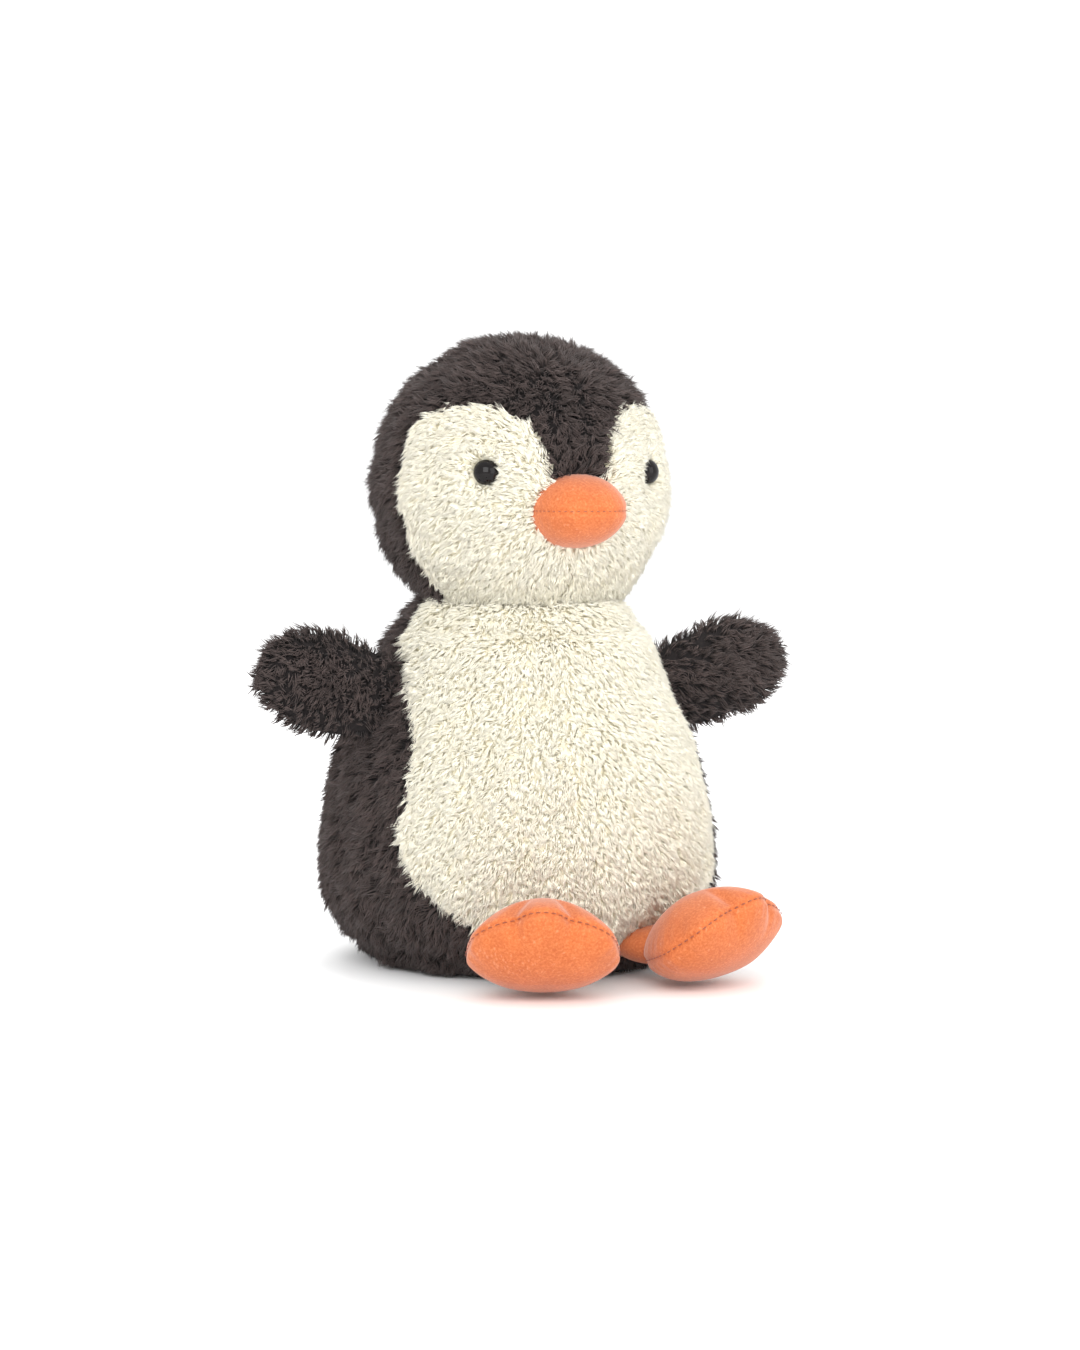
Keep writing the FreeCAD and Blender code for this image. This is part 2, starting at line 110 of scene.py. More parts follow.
class Form:
    """A closed soft surface around a centre: a radius and a panel for each direction."""

    def __init__(self, names, centre, axes, rows=140, cols=280):
        self.names = names
        self.centre = np.array(centre)
        self.axes = np.array(axes)
        self.rows = rows
        self.cols = cols
        verts, faces, owner = [], [], []
        for k, name in enumerate(names):
            mesh = bpy.data.objects[name].data
            start = len(verts)
            verts += [v.co.copy() for v in mesh.vertices]
            for poly in mesh.polygons:
                faces.append([start + i for i in poly.vertices])
                owner.append(k)
        tree = BVHTree.FromPolygons(verts, faces)
        self.polar = (np.arange(rows) + 0.5) * math.pi / rows
        self.turn = np.arange(cols) * FULL_TURN / cols
        self.radius = np.full((rows, cols), np.nan)
        self.panel = np.zeros((rows, cols), dtype=int)
        out = self.directions()
        middle = Vector(self.centre)
        for i in range(rows):
            for j in range(cols):
                way = Vector(out[i, j])
                hit, _, index, far = tree.ray_cast(middle + way * RAY_REACH, -way)
                if hit is not None and far < RAY_REACH:
                    self.radius[i, j] = RAY_REACH - far
                    self.panel[i, j] = owner[index]

    def directions(self):
        """The unit vector of each sample, from the centre."""
        p, t = self.polar[:, None], self.turn[None, :]
        local = np.stack([np.sin(p) * np.cos(t), np.sin(p) * np.sin(t), np.cos(p) + 0 * t], axis=-1)
        return local @ self.axes

    def mend(self):
        """Fills the directions in which no panel was met, from their neighbours."""
        for col in range(self.cols):
            met = np.flatnonzero(~np.isnan(self.radius[:, col]))
            self.radius[:, col] = np.interp(np.arange(self.rows), met, self.radius[met, col])

    def blur(self, field, times):
        """A field smoothed along the surface."""
        for _ in range(times):
            rows = np.concatenate([field[:1], field, field[-1:]])
            field = 0.25 * rows[:-2] + 0.5 * field + 0.25 * rows[2:]
            field = 0.25 * np.roll(field, 1, 1) + 0.5 * field + 0.25 * np.roll(field, -1, 1)
        return field

    def finish(self, smooth=3, seam=1.2, seam_wide=4, lumps=0.7, lump_size=22.0, seed=1):
        """Smooths the tessellation away, draws the seams in, and adds the stuffing's soft lumps."""
        self.mend()
        self.radius = self.blur(self.radius, smooth)
        own = np.zeros_like(self.radius)
        for k in range(len(self.names)):
            inside = (self.panel == k).astype(float)
            own += np.where(self.panel == k, self.blur(inside, seam_wide), 0)
        self.radius -= seam * MM * np.clip(2 * (1 - own), 0, 1)
        points = self.centre + self.directions() * self.radius[..., None]
        self.radius += lumps * MM * wave_noise(points, lump_size * MM, seed)
        self.points = self.centre + self.directions() * self.radius[..., None]
        self.turn_out()

    def stretch(self, way, side, factor):
        """Lengthens the part of the form that is on one side of its centre."""
        share = (self.points - self.centre) @ way
        beyond = np.where(share * side > 0, share, 0)
        self.points = self.points + beyond[..., None] * (factor - 1) * way
        self.turn_out()

    def turn_out(self):
        """Works out the normals, which point outwards."""
        along = np.gradient(self.points, axis=0)
        wrapped = np.concatenate([self.points[:, -1:], self.points, self.points[:, :1]], axis=1)
        across = (wrapped[:, 2:] - wrapped[:, :-2]) / 2
        self.normals = unit(np.cross(along, across))
        if np.mean(np.sum(self.normals * self.directions(), axis=-1)) < 0:
            self.normals = -self.normals

    def at(self, polar, turn):
        """Points, normals and panels at angles, between the samples."""
        row = np.clip(polar * self.rows / math.pi - 0.5, 0, self.rows - 1.001)
        col = (turn / FULL_TURN * self.cols) % self.cols
        i, j = row.astype(int), col.astype(int) % self.cols
        a, b = (row - i)[:, None], (col - np.floor(col))[:, None]
        k = (j + 1) % self.cols

        def mix(field):
            low = field[i, j] * (1 - b) + field[i, k] * b
            high = field[i + 1, j] * (1 - b) + field[i + 1, k] * b
            return low * (1 - a) + high * a

        nearest = self.panel[np.round(row).astype(int), np.round(col).astype(int) % self.cols]
        return mix(self.points), unit(mix(self.normals)), nearest

    def scatter(self, spacing, low=0.0, high=math.pi):
        """Angles of points spread evenly over the surface, a spacing apart, a little unevenly."""
        fine = np.linspace(low, high, 600)
        ring = np.interp(fine, self.polar, np.mean(self.radius, axis=1))
        step = np.hypot(np.diff(ring), (ring[1:] + ring[:-1]) / 2 * np.diff(fine))
        length = np.concatenate([[0], np.cumsum(step)])
        polar, turn = [], []
        for n, far in enumerate(np.arange(spacing / 2, length[-1], spacing)):
            p = np.interp(far, length, fine)
            r = np.interp(p, self.polar, np.mean(self.radius, axis=1))
            count = max(3, int(round(FULL_TURN * r * math.sin(p) / spacing)))
            base = (np.arange(count) + 0.5 * (n % 2)) / count * FULL_TURN
            turn.append(base + rng.uniform(-SCATTER, SCATTER, count) * FULL_TURN / count)
            polar.append(p + rng.uniform(-SCATTER, SCATTER, count) * spacing / r)
        return np.clip(np.concatenate(polar), 0.001, math.pi - 0.001), np.concatenate(turn)


# ---------------------------------------------------------------- meshes


def new_mesh(name, verts, faces, sides, materials, uv=None):
    """An object from arrays. faces holds corner numbers, all faces having the same side count."""
    mesh = bpy.data.meshes.new(name)
    mesh.vertices.add(len(verts))
    mesh.vertices.foreach_set("co", np.asarray(verts, dtype=np.float32).ravel())
    corners = np.asarray(faces, dtype=np.int32).ravel()
    mesh.loops.add(len(corners))
    mesh.loops.foreach_set("vertex_index", corners)
    count = len(corners) // sides
    mesh.polygons.add(count)
    mesh.polygons.foreach_set("loop_start", np.arange(0, count * sides, sides, dtype=np.int32))
    mesh.polygons.foreach_set("use_smooth", np.ones(count, dtype=bool))
    for m in materials:
        mesh.materials.append(m)
    if uv is not None:
        layer = mesh.uv_layers.new(name="OFBake")
        layer.data.foreach_set("uv", np.asarray(uv, dtype=np.float32)[corners].ravel())
    mesh.update(calc_edges=True)
    piece = bpy.data.objects.new(name, mesh)
    bpy.context.scene.collection.objects.link(piece)
    return piece


STRAND_RINGS = ((0.0, 1.0), (0.55, 0.85))  # a strand's rings: share of its length, share of its half width
STRAND_SIDES = 3
STRAND_CORNERS = len(STRAND_RINGS) * STRAND_SIDES + 1  # with the tip


def strands(root, rise, tip, shade, half):
    """Closed strands, one for each row: a bent three-sided spike from root to tip."""
    n = len(root)
    chord = unit(tip - root)
    side = unit(np.cross(chord, rng.normal(size=(n, 3))))
    other = np.cross(chord, side)
    verts = np.zeros((n, STRAND_CORNERS, 3))
    uv = np.zeros((n, STRAND_CORNERS, 2))
    for k, (t, share) in enumerate(STRAND_RINGS):
        middle = (1 - t) ** 2 * root + 2 * t * (1 - t) * rise + t * t * tip
        thick = (half * share)[:, None]
        for c in range(STRAND_SIDES):
            a = FULL_TURN * c / STRAND_SIDES
            corner = STRAND_SIDES * k + c
            verts[:, corner] = middle + thick * (math.cos(a) * side + math.sin(a) * other)
            uv[:, corner] = np.stack([shade + 0.002 * c, np.full(n, 0.01 + 0.98 * t)], axis=-1)
    verts[:, -1] = tip
    uv[:, -1] = np.stack([shade + 0.001, np.full(n, 0.99)], axis=-1)
    faces = [(0, 2, 1), (3, 4, 6), (4, 5, 6), (5, 3, 6)]
    for c in range(STRAND_SIDES):
        d = (c + 1) % STRAND_SIDES
        faces += [(c, d, 3 + d), (c, 3 + d, 3 + c)]
    index = (np.array(faces)[None] + STRAND_CORNERS * np.arange(n)[:, None, None]).reshape(-1, 3)
    return verts.reshape(-1, 3), index, uv.reshape(-1, 2)


def pile(form, groom, names, style, low=0.0, high=math.pi, bare=()):
    """Tufts of pile over a form's named panels, between two polar angles, but for the bare places,
    each a middle and half sizes. Returns, for each panel, its strands' arrays."""
    spacing = style["spacing"] * MM
    depth = style["depth"] * MM
    length = style["length"] * MM
    polar, turn = form.scatter(spacing, low, high)
    point, normal, panel = form.at(polar, turn)
    wanted = [k for k, name in enumerate(form.names) if name in names]
    keep = np.isin(panel, wanted)
    flow = groom(point, normal, panel)
    for middle, sizes in bare:
        off = point - middle
        near = np.linalg.norm(off / sizes, axis=1)
        keep &= near > 1.0
        # Up to 2.2 half sizes away, the pile lies away from the bare place.
        flow += 2.5 * unit(off) * np.clip(2.2 - near, 0, 1)[:, None]
    point, normal, panel, flow = (field[keep] for field in (point, normal, panel, flow))
    flow = unit(flow - np.sum(flow * normal, axis=-1, keepdims=True) * normal)
    across = np.cross(normal, flow)
    swirl = style["swirl"] * wave_noise(point, 8 * MM, 31) + rng.normal(0, style["stray"], len(point))
    flow = np.cos(swirl)[:, None] * flow + np.sin(swirl)[:, None] * across
    uneven = style["uneven"] * (0.9 * wave_noise(point, 6 * MM, 5) + rng.normal(0, 0.5, len(point)))
    rise = depth + (style["proud"] + uneven) * MM
    slide = rng.uniform(*style["lean"], len(point)) * length
    base = point - normal * depth
    tip = base + normal * rise[:, None] + flow * slide[:, None]
    tuft_shade = 0.5 + 0.16 * wave_noise(point, 14 * MM, 77) + rng.normal(0, 0.13, len(point))
    result = {}
    for k in wanted:
        mine = np.repeat(np.flatnonzero(panel == k), style["strands"])
        n = len(mine)
        if not n:
            continue
        up, lie = normal[mine], flow[mine]
        spread = rng.normal(size=(n, 3)) * 0.42 * spacing
        spread -= np.sum(spread * up, axis=-1, keepdims=True) * up
        start = base[mine] + spread
        reach = rng.uniform(0.72, 1.06, n)[:, None]
        end = start + (tip[mine] - base[mine]) * reach - spread * (1 - style["clump"])
        end += rng.normal(size=(n, 3)) * 0.22 * MM
        bend = start + up * (rise[mine] * 0.75)[:, None] + lie * (slide[mine] * 0.12)[:, None]
        shade = np.clip(tuft_shade[mine] + rng.normal(0, 0.10, n), 0.02, 0.97)
        width = style["half"] * MM * rng.uniform(0.75, 1.2, n)
        result[form.names[k]] = (start, bend, end, shade, width)
    return result


# In millimetres: how far apart tufts are, how deep they root, how long they are, how far they stand
# proud and how unevenly, and a strand's half width. Then the least and most of its length that a tuft
# lies over, how far it swirls and strays in radians, its number of strands, and the share of their
# spread that is left at the tips.
DARK_STYLE = {
    "spacing": 1.6, "depth": 4.0, "length": 7.0, "proud": 1.3, "uneven": 1.0, "half": 0.21,
    "lean": (0.30, 0.85), "swirl": 0.75, "stray": 0.45, "strands": 6, "clump": 0.55,
}
CREAM_STYLE = {
    "spacing": 1.3, "depth": 2.8, "length": 5.5, "proud": 1.0, "uneven": 0.35, "half": 0.175,
    "lean": (0.45, 0.95), "swirl": 0.45, "stray": 0.40, "strands": 8, "clump": 0.30,
}
WING_STYLE = dict(DARK_STYLE, depth=3.0, length=6.0, proud=1.5)

FLOOR_GAP = 0.45 * MM  # the middle line of a strand stays this far above the floor
MOST_STRANDS = 19500  # in one piece


def pile_pieces(parts, body):
    """One or more pieces for each panel's strands, each small enough to keep whole."""
    for name, (start, bend, end, shade, width) in parts.items():
        for line in (start, bend, end):
            line[:, 2] = np.maximum(line[:, 2], FLOOR_GAP)
        order = np.argsort(-start[:, 2])
        count = max(1, math.ceil(len(order) / MOST_STRANDS))
        for k, rows in enumerate(np.array_split(order, count)):
            title = f"{name}_pile" if count == 1 else f"{name}_pile_{k + 1}"
            verts, faces, uv = strands(start[rows], bend[rows], end[rows], shade[rows], width[rows])
            piece = new_mesh(title, verts, faces, 3, [pile_look(name)], uv)
            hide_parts(name)
            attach(piece, body)


def backing(form, name, depths, body):
    """The closed cloth under the pile, as deep under each panel's surface as depths say, in mm."""
    deep = form.blur(np.array(depths)[form.panel], 3)
    under = form.points - form.normals * (deep * MM)[..., None]
    rows, cols = form.rows, form.cols
    verts = np.concatenate([under.reshape(-1, 3), [under[0].mean(axis=0), under[-1].mean(axis=0)]])
    top, bottom = rows * cols, rows * cols + 1
    i, j = np.meshgrid(np.arange(rows - 1), np.arange(cols), indexing="ij")
    k = (j + 1) % cols
    quads = np.stack([i * cols + j, (i + 1) * cols + j, (i + 1) * cols + k, i * cols + k], axis=-1)
    tris = np.concatenate([quads[..., [0, 1, 2]].reshape(-1, 3), quads[..., [0, 2, 3]].reshape(-1, 3)])
    ring = np.arange(cols)
    after = (ring + 1) % cols
    last = (rows - 1) * cols
    cap_top = np.stack([np.full(cols, top), ring, after], axis=-1)
    cap_bottom = np.stack([np.full(cols, bottom), last + after, last + ring], axis=-1)
    between = form.panel[:-1].ravel()
    panel = np.concatenate([between, between, form.panel[0], form.panel[-1]])
    kinds = []
    for n in form.names:
        if cloth_look(n) not in kinds:
            kinds.append(cloth_look(n))
    piece = new_mesh(name, verts, np.concatenate([tris, cap_top, cap_bottom]), 3, kinds)
    which = np.array([kinds.index(cloth_look(n)) for n in form.names], dtype=np.int32)
    piece.data.polygons.foreach_set("material_index", which[panel])
    piece.data.update()
    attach(piece, body)


# ---------------------------------------------------------------- materials


class Nodes:
    """A node material, with short ways to add and join nodes."""

    def __init__(self, name, **plain):
        self.material = bpy.data.materials.new(name)
        self.material.use_nodes = True
        self.tree = self.material.node_tree
        self.shader = self.tree.nodes["Principled BSDF"]
        for key, value in plain.items():
            self.shader.inputs[key.replace("_", " ")].default_value = value

    def add(self, kind, values=None, **fields):
        """A node, its inputs set or linked by values and its properties by fields."""
        made = self.tree.nodes.new(kind)
        for key, value in fields.items():
            setattr(made, key, value)
        for key, value in (values or {}).items():
            if isinstance(value, bpy.types.NodeSocket):
                self.tree.links.new(value, made.inputs[key])
            else:
                made.inputs[key].default_value = value
        return made

    def ramp(self, fac, stops):
        """A colour that runs through the stops, each a place and a colour."""
        made = self.add("ShaderNodeValToRGB", {"Fac": fac})
        band = made.color_ramp
        while len(band.elements) < len(stops):
            band.elements.new(0.5)
        for element, (where, colour) in zip(band.elements, stops):
            element.position = where
            element.color = (*colour, 1.0)
        return made.outputs["Color"]

    def mix(self, way, fac, a, b):
        """Two colours mixed the way that a blend type's name says."""
        made = self.add("ShaderNodeMix", data_type="RGBA", blend_type=way)
        for key, value in ((0, fac), (6, a), (7, b)):
            if isinstance(value, bpy.types.NodeSocket):
                self.tree.links.new(value, made.inputs[key])
            else:
                made.inputs[key].default_value = value if key == 0 else (*value, 1.0)
        return made.outputs[2]

    def drive(self, key, socket):
        """Links a socket to one of the shader's inputs."""
        self.tree.links.new(socket, self.shader.inputs[key])


def pile_material(name, root, tip, dull, bright, sheen):
    """Colour from the strand's own coordinates: along it, root to tip, where the roots' colour is painted
    shade in the dark pile and painted fill light in the cream pile, and from one strand to the next.
    """
    kit = Nodes(name, Roughness=0.85, Sheen_Weight=sheen, Sheen_Roughness=0.55,
                Specular_IOR_Level=0.25)
    where = kit.add("ShaderNodeUVMap", uv_map="OFBake").outputs["UV"]
    apart = kit.add("ShaderNodeSeparateXYZ", {0: where}).outputs
    mid = tuple(0.45 * a + 0.55 * b for a, b in zip(root, tip))
    # The roots' colour is painted light and shade: near black roots paint the shade between dark tufts, and
    # cream roots paint fill light into the gaps.
    along = kit.ramp(apart["Y"], [(0.0, root), (0.45, mid), (1.0, tip)])
    shade = kit.ramp(apart["X"], [(0.0, dull), (0.5, (1.0, 1.0, 1.0)), (1.0, bright)])
    kit.drive("Base Color", kit.mix("MULTIPLY", 1.0, along, shade))
    return kit.material


def cloth_material(name, colour, other):
    """The knitted backing under the pile."""
    kit = Nodes(name, Roughness=0.95)
    where = kit.add("ShaderNodeTexCoord").outputs["Object"]
    knit = kit.add("ShaderNodeTexNoise", {"Vector": where, "Scale": 900.0, "Detail": 2.0})
    kit.drive("Base Color", kit.ramp(knit.outputs["Fac"], [(0.3, colour), (0.7, other)]))
    return kit.material


# Dark pile: roots near black, about a ninth of the tips' brightness, as painted shade between the tufts.
DARK = pile_material("dark_pile", (0.010, 0.007, 0.006), (0.092, 0.069, 0.064),
                     (0.60, 0.58, 0.58), (1.55, 1.52, 1.52), 0.06)
# Cream pile: roots as light as the tips and warmer, a painted fill light that cancels the shade between
# tufts.
CREAM = pile_material("cream_pile", (0.97, 0.92, 0.75), (0.945, 0.915, 0.805),
                      (0.98, 0.96, 0.91), (1.01, 1.01, 1.01), 0.04)
# Dark backing: black cloth kept as dark as the roots, partly its own colour and partly painted shade in the
# gaps.
DARK_CLOTH = cloth_material("dark_backing", (0.006, 0.004, 0.004), (0.014, 0.010, 0.010))
# Cream backing: cream cloth painted as light as the roots, partly its own colour and partly painted fill
# light in the gaps.
CREAM_CLOTH = cloth_material("cream_backing", (0.95, 0.89, 0.70), (0.97, 0.92, 0.76))
CREAM_NODES = ("belly_panel", "face_panel_left", "face_panel_right")


def pile_look(name):
    return CREAM if name in CREAM_NODES else DARK


def cloth_look(name):
    return CREAM_CLOTH if name in CREAM_NODES else DARK_CLOTH


# ---------------------------------------------------------------- torso, head and wings

PLAIN_AXES = [(1, 0, 0), (0, 1, 0), (0, 0, 1)]
SHOULDERS = math.radians(21)  # the polar angle at which the torso's pile begins
SEAT = math.radians(177)  # the polar angle at which its dark pile ends
CHIN = math.radians(152)  # the polar angle at which the head's pile ends


def close_over(form, rows, beside, profile):
    """Closes a form over its open end: those rows get the profile's radii, each row an angle in
    degrees and millimetres, and the panels of the row beside them."""
    angles, radii = np.array(profile).T
    form.radius[rows] = np.interp(np.degrees(form.polar[rows]), angles, radii)[:, None] * MM
    form.panel[rows] = form.panel[beside]


def torso():
    """The torso's pile and cloth. Above the shoulders the cloth closes over the neck, under the head."""
    names = ["belly_panel", "back_panel_left", "back_panel_right", "base_panel"]
    _, high = node_box(*names)
    centre = (0.0, AXIS_Y, 52 * MM)
    form = Form(names, centre, PLAIN_AXES, 150, 300)
    shoulder = np.arctan2(41 * MM, high[2] - centre[2] - 0.5 * MM)
    rows = form.polar < shoulder
    profile = [(0.0, 77.0), (23.5, 80.0), (28.0, 78.5), (math.degrees(shoulder), 74.2)]
    close_over(form, rows, int(np.argmin(rows)) + 1, profile)
    form.finish(seed=3)

    def groom(point, normal, panel):
        flow = np.tile(-UP, (len(point), 1))
        side = np.clip(point[:, 0] / (60 * MM), -1, 1)
        flow[:, 0] += np.where(panel == 0, 0.9 * side, 0.25 * side)
        flow[:, 1] += np.where(panel == 0, 0.0, 0.25)
        return flow

    parts = pile(form, groom, names[:1], CREAM_STYLE, SHOULDERS)
    parts.update(pile(form, groom, names[1:], DARK_STYLE, SHOULDERS, SEAT))
    pile_pieces(parts, "torso")
    backing(form, "torso_cloth", [2.0, 2.6, 2.6, 2.6], "torso")


def head():
    """The head's pile and cloth. The cloth closes under the head, round the neck."""
    names = ["head_cover_left", "head_cover_right", "face_panel_left", "face_panel_right"]
    low, high = node_box(*names)
    centre = (low + high) / 2
    centre[0] = 0.0
    centre[2] = high[2] - 51 * MM
    form = Form(names, centre, PLAIN_AXES, 140, 280)
    rim = math.pi - math.atan2(31 * MM, centre[2] - low[2] - 0.5 * MM)
    rows = form.polar > rim
    profile = [(math.degrees(rim), 50.0), (150.0, 51.5), (160.0, 49.5), (180.0, 47.5)]
    close_over(form, rows, int(np.argmax(rows)) - 2, profile)
    form.finish(seed=8)
    beak_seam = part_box("beak_upper")[0][2]

    def groom(point, normal, panel):
        away = point - np.array([0.0, point[:, 1].min(), beak_seam])
        away[:, 1] = 0
        face = unit(away) * 0.9 - UP * 0.55
        crown = np.tile(-UP * 0.8, (len(point), 1))
        crown[:, 1] += 0.55
        return np.where((panel >= 2)[:, None], face, crown)

    bare = []
    for side in ("left", "right"):
        eye = sum(node_box(f"eye_{side}")) / 2
        outwards = math.copysign(1.5, eye[0])
        bare.append((eye + np.array([outwards, 2.0, 0.0]) * MM, np.full(3, 4.5 * MM)))
    beak_low, beak_high = node_box("beak_upper", "beak_lower")
    beak_root = (beak_low + beak_high) / 2 + np.array([0.0, (beak_high[1] - beak_low[1]) / 2, 0.0])
    bare.append((beak_root, np.array([13.5, 14.0, 11.0]) * MM))
    parts = pile(form, groom, names[:2], DARK_STYLE, high=CHIN, bare=bare)
    parts.update(pile(form, groom, names[2:], CREAM_STYLE, high=CHIN, bare=bare))
    pile_pieces(parts, "head")
    backing(form, "head_cloth", [2.6, 2.6, 2.0, 2.0], "head")


def wing(side):
    """A wing's pile and cloth, made longer at its root so that it runs into the torso's pile."""
    sign = 1.0 if side == "left" else -1.0
    names = [f"wing_{side}_front", f"wing_{side}_back"]
    joint = JOINTS[f"wing_{side}_sweep"]
    seam = np.array(joint["axis"]) * (1 if joint["axis"][2] > 0 else -1)  # upwards
    out = np.array([sign * math.sin(WING_TURN), -math.cos(WING_TURN), 0.0])
    thick = unit(np.cross(seam, out))
    along = unit(np.cross(thick, seam))
    centre = np.array(joint["pos_m"]) + along * 11 * MM
    form = Form(names, centre, [thick, seam, along], 70, 140)
    form.finish(smooth=2, seam=0.5, seam_wide=2, lumps=0.4, lump_size=16, seed=12)
    form.stretch(along, -1, 1.6)

    def groom(point, normal, panel):
        return np.tile(along - 0.55 * UP, (len(point), 1))

    parts = pile(form, groom, names, WING_STYLE)
    pile_pieces(parts, f"wing_{side}")
    backing(form, f"wing_{side}_cloth", [2.0, 2.0], f"wing_{side}")


torso()
head()
for side in ("left", "right"):
    wing(side)


# ---------------------------------------------------------------- suede


def suede_material():
    """Brushed suede cloth: a fine speckle, soft clouds where the nap lies over, paler rubbed crests."""
    kit = Nodes("orange_suede", Sheen_Weight=0.3, Sheen_Roughness=0.45, Specular_IOR_Level=0.2)
    where = kit.add("ShaderNodeTexCoord").outputs["Object"]
    grain = {"Vector": where, "Scale": 1300.0, "Detail": 3.0, "Roughness": 0.65}
    speck = kit.add("ShaderNodeTexNoise", grain)
    cloud = kit.add("ShaderNodeTexNoise", {"Vector": where, "Scale": 120.0, "Detail": 3.0})
    fine = kit.ramp(speck.outputs["Fac"], [(0.30, (0.46, 0.100, 0.030)), (0.50, (0.53, 0.141, 0.042)),
                                           (0.72, (0.65, 0.205, 0.075))])
    soft = kit.ramp(cloud.outputs["Fac"], [(0.3, (0.90, 0.88, 0.86)), (0.7, (1.0, 1.0, 1.0))])
    nap = kit.mix("MULTIPLY", 1.0, fine, soft)
    crest = kit.add("ShaderNodeNewGeometry").outputs["Pointiness"]
    rubbed = kit.ramp(crest, [(0.50, (0.0, 0.0, 0.0)), (0.60, (0.45, 0.45, 0.45))])
    kit.drive("Base Color", kit.mix("MIX", rubbed, nap, (0.65, 0.26, 0.13)))
    rough = kit.add("ShaderNodeMapRange", {"Value": speck.outputs["Fac"], "To Min": 0.80, "To Max": 0.98})
    kit.drive("Roughness", rough.outputs["Result"])
    bump = kit.add("ShaderNodeBump", {"Height": speck.outputs["Fac"], "Strength": 0.30, "Distance": 0.0004})
    kit.drive("Normal", bump.outputs["Normal"])
    return kit.material


def thread_material():
    """Dark orange sewing thread."""
    kit = Nodes("seam_thread", Roughness=0.6, Sheen_Weight=0.2)
    where = kit.add("ShaderNodeTexCoord").outputs["Object"]
    twist = kit.add("ShaderNodeTexWave", {"Vector": where, "Scale": 900.0, "Distortion": 1.5})
    stops = [(0.2, (0.16, 0.028, 0.012)), (0.8, (0.34, 0.075, 0.030))]
    kit.drive("Base Color", kit.ramp(twist.outputs["Fac"], stops))
    return kit.material


SUEDE = suede_material()
THREAD = thread_material()
RINGS, SPOKES = 20, 108  # of a stuffed pad's two sides


def pad_points(outline, height):
    """A stuffed pad in its own flat frame. outline(p, a) is the distance to its seam at the angles a,
    and height(p, a) its two sides' heights, where p is the share of the way to the seam. Returns its
    points, its triangles and the seam's indices."""
    angle = np.arange(SPOKES) * FULL_TURN / SPOKES
    points, tris = [], []
    share = 1 - (1 - np.arange(1, RINGS + 1) / RINGS) ** 1.35
    grids = []
    for which in (0, 1):
        sign = 1.0 if which == 0 else -1.0
        rows = []
        for n, p in enumerate(share):
            if which == 1 and n == RINGS - 1:
                rows.append(grids[0][-1])
                continue
            z = height(p, angle)[which] * sign if n < RINGS - 1 else 0 * angle
            rows.append(np.arange(SPOKES) + sum(len(q) for q in points))
            reach = p * outline(p, angle)
            points.append(np.stack([reach * np.cos(angle), reach * np.sin(angle), z], axis=-1))
        tip = sum(len(q) for q in points)
        points.append(np.array([[0.0, 0.0, sign * height(0.0, angle)[which].mean()]]))
        grids.append(rows)
        ring = np.arange(SPOKES)
        after = (ring + 1) % SPOKES
        fan = np.stack([np.full(SPOKES, tip), rows[0][ring], rows[0][after]], axis=-1)
        sheets = [fan]
        for a, b in zip(rows[:-1], rows[1:]):
            sheets.append(np.stack([a[ring], b[ring], b[after]], axis=-1))
            sheets.append(np.stack([a[ring], b[after], a[after]], axis=-1))
        side = np.concatenate(sheets)
        tris.append(side if which == 0 else side[:, ::-1])
    return np.concatenate(points), np.concatenate(tris), grids[0][-1]


PUFF_FRAMES = 14


def puff(piece, seam, most):
    """Fills a sewn pad: cloth simulation under pressure, its seam held and no point moving further
    than the most."""
    scene = bpy.context.scene
    before = np.array([v.co for v in piece.data.vertices])
    group = piece.vertex_groups.new(name="held")
    group.add([int(index) for index in seam], 1.0, "REPLACE")
    cloth = piece.modifiers.new("Cloth", "CLOTH")
    cloth.settings.quality = 4
    cloth.settings.use_pressure = True
    cloth.settings.uniform_pressure_force = 3.0
    cloth.settings.effector_weights.gravity = 0
    cloth.settings.tension_stiffness = 25
    cloth.settings.compression_stiffness = 25
    cloth.settings.shear_stiffness = 8
    cloth.settings.bending_stiffness = 0.2
    cloth.settings.mass = 0.2
    cloth.settings.vertex_group_mass = "held"
    cloth.point_cache.frame_start = 1
    cloth.point_cache.frame_end = PUFF_FRAMES
    for frame_number in range(1, PUFF_FRAMES + 1):
        scene.frame_set(frame_number)
    graph = bpy.context.evaluated_depsgraph_get()
    after = np.array([v.co for v in piece.evaluated_get(graph).data.vertices])
    piece.modifiers.remove(cloth)
    piece.vertex_groups.remove(group)
    scene.frame_set(1)
    move = after - before
    size = np.linalg.norm(move, axis=1, keepdims=True)
    move *= np.minimum(1.0, most / np.maximum(size, 1e-9))
    piece.data.vertices.foreach_set("co", (before + move).astype(np.float32).ravel())
    piece.data.update()


STITCH_RINGS = ((0.0, -1.0, 0.55), (0.2, 1.2, 1.0), (0.5, 2.0, 1.0), (0.8, 1.2, 1.0), (1.0, -1.0, 0.55))
STITCH_SIDES = 6
STITCH_LIFT = 0.10 * MM  # half of how far a stitch's middle stands off the cloth


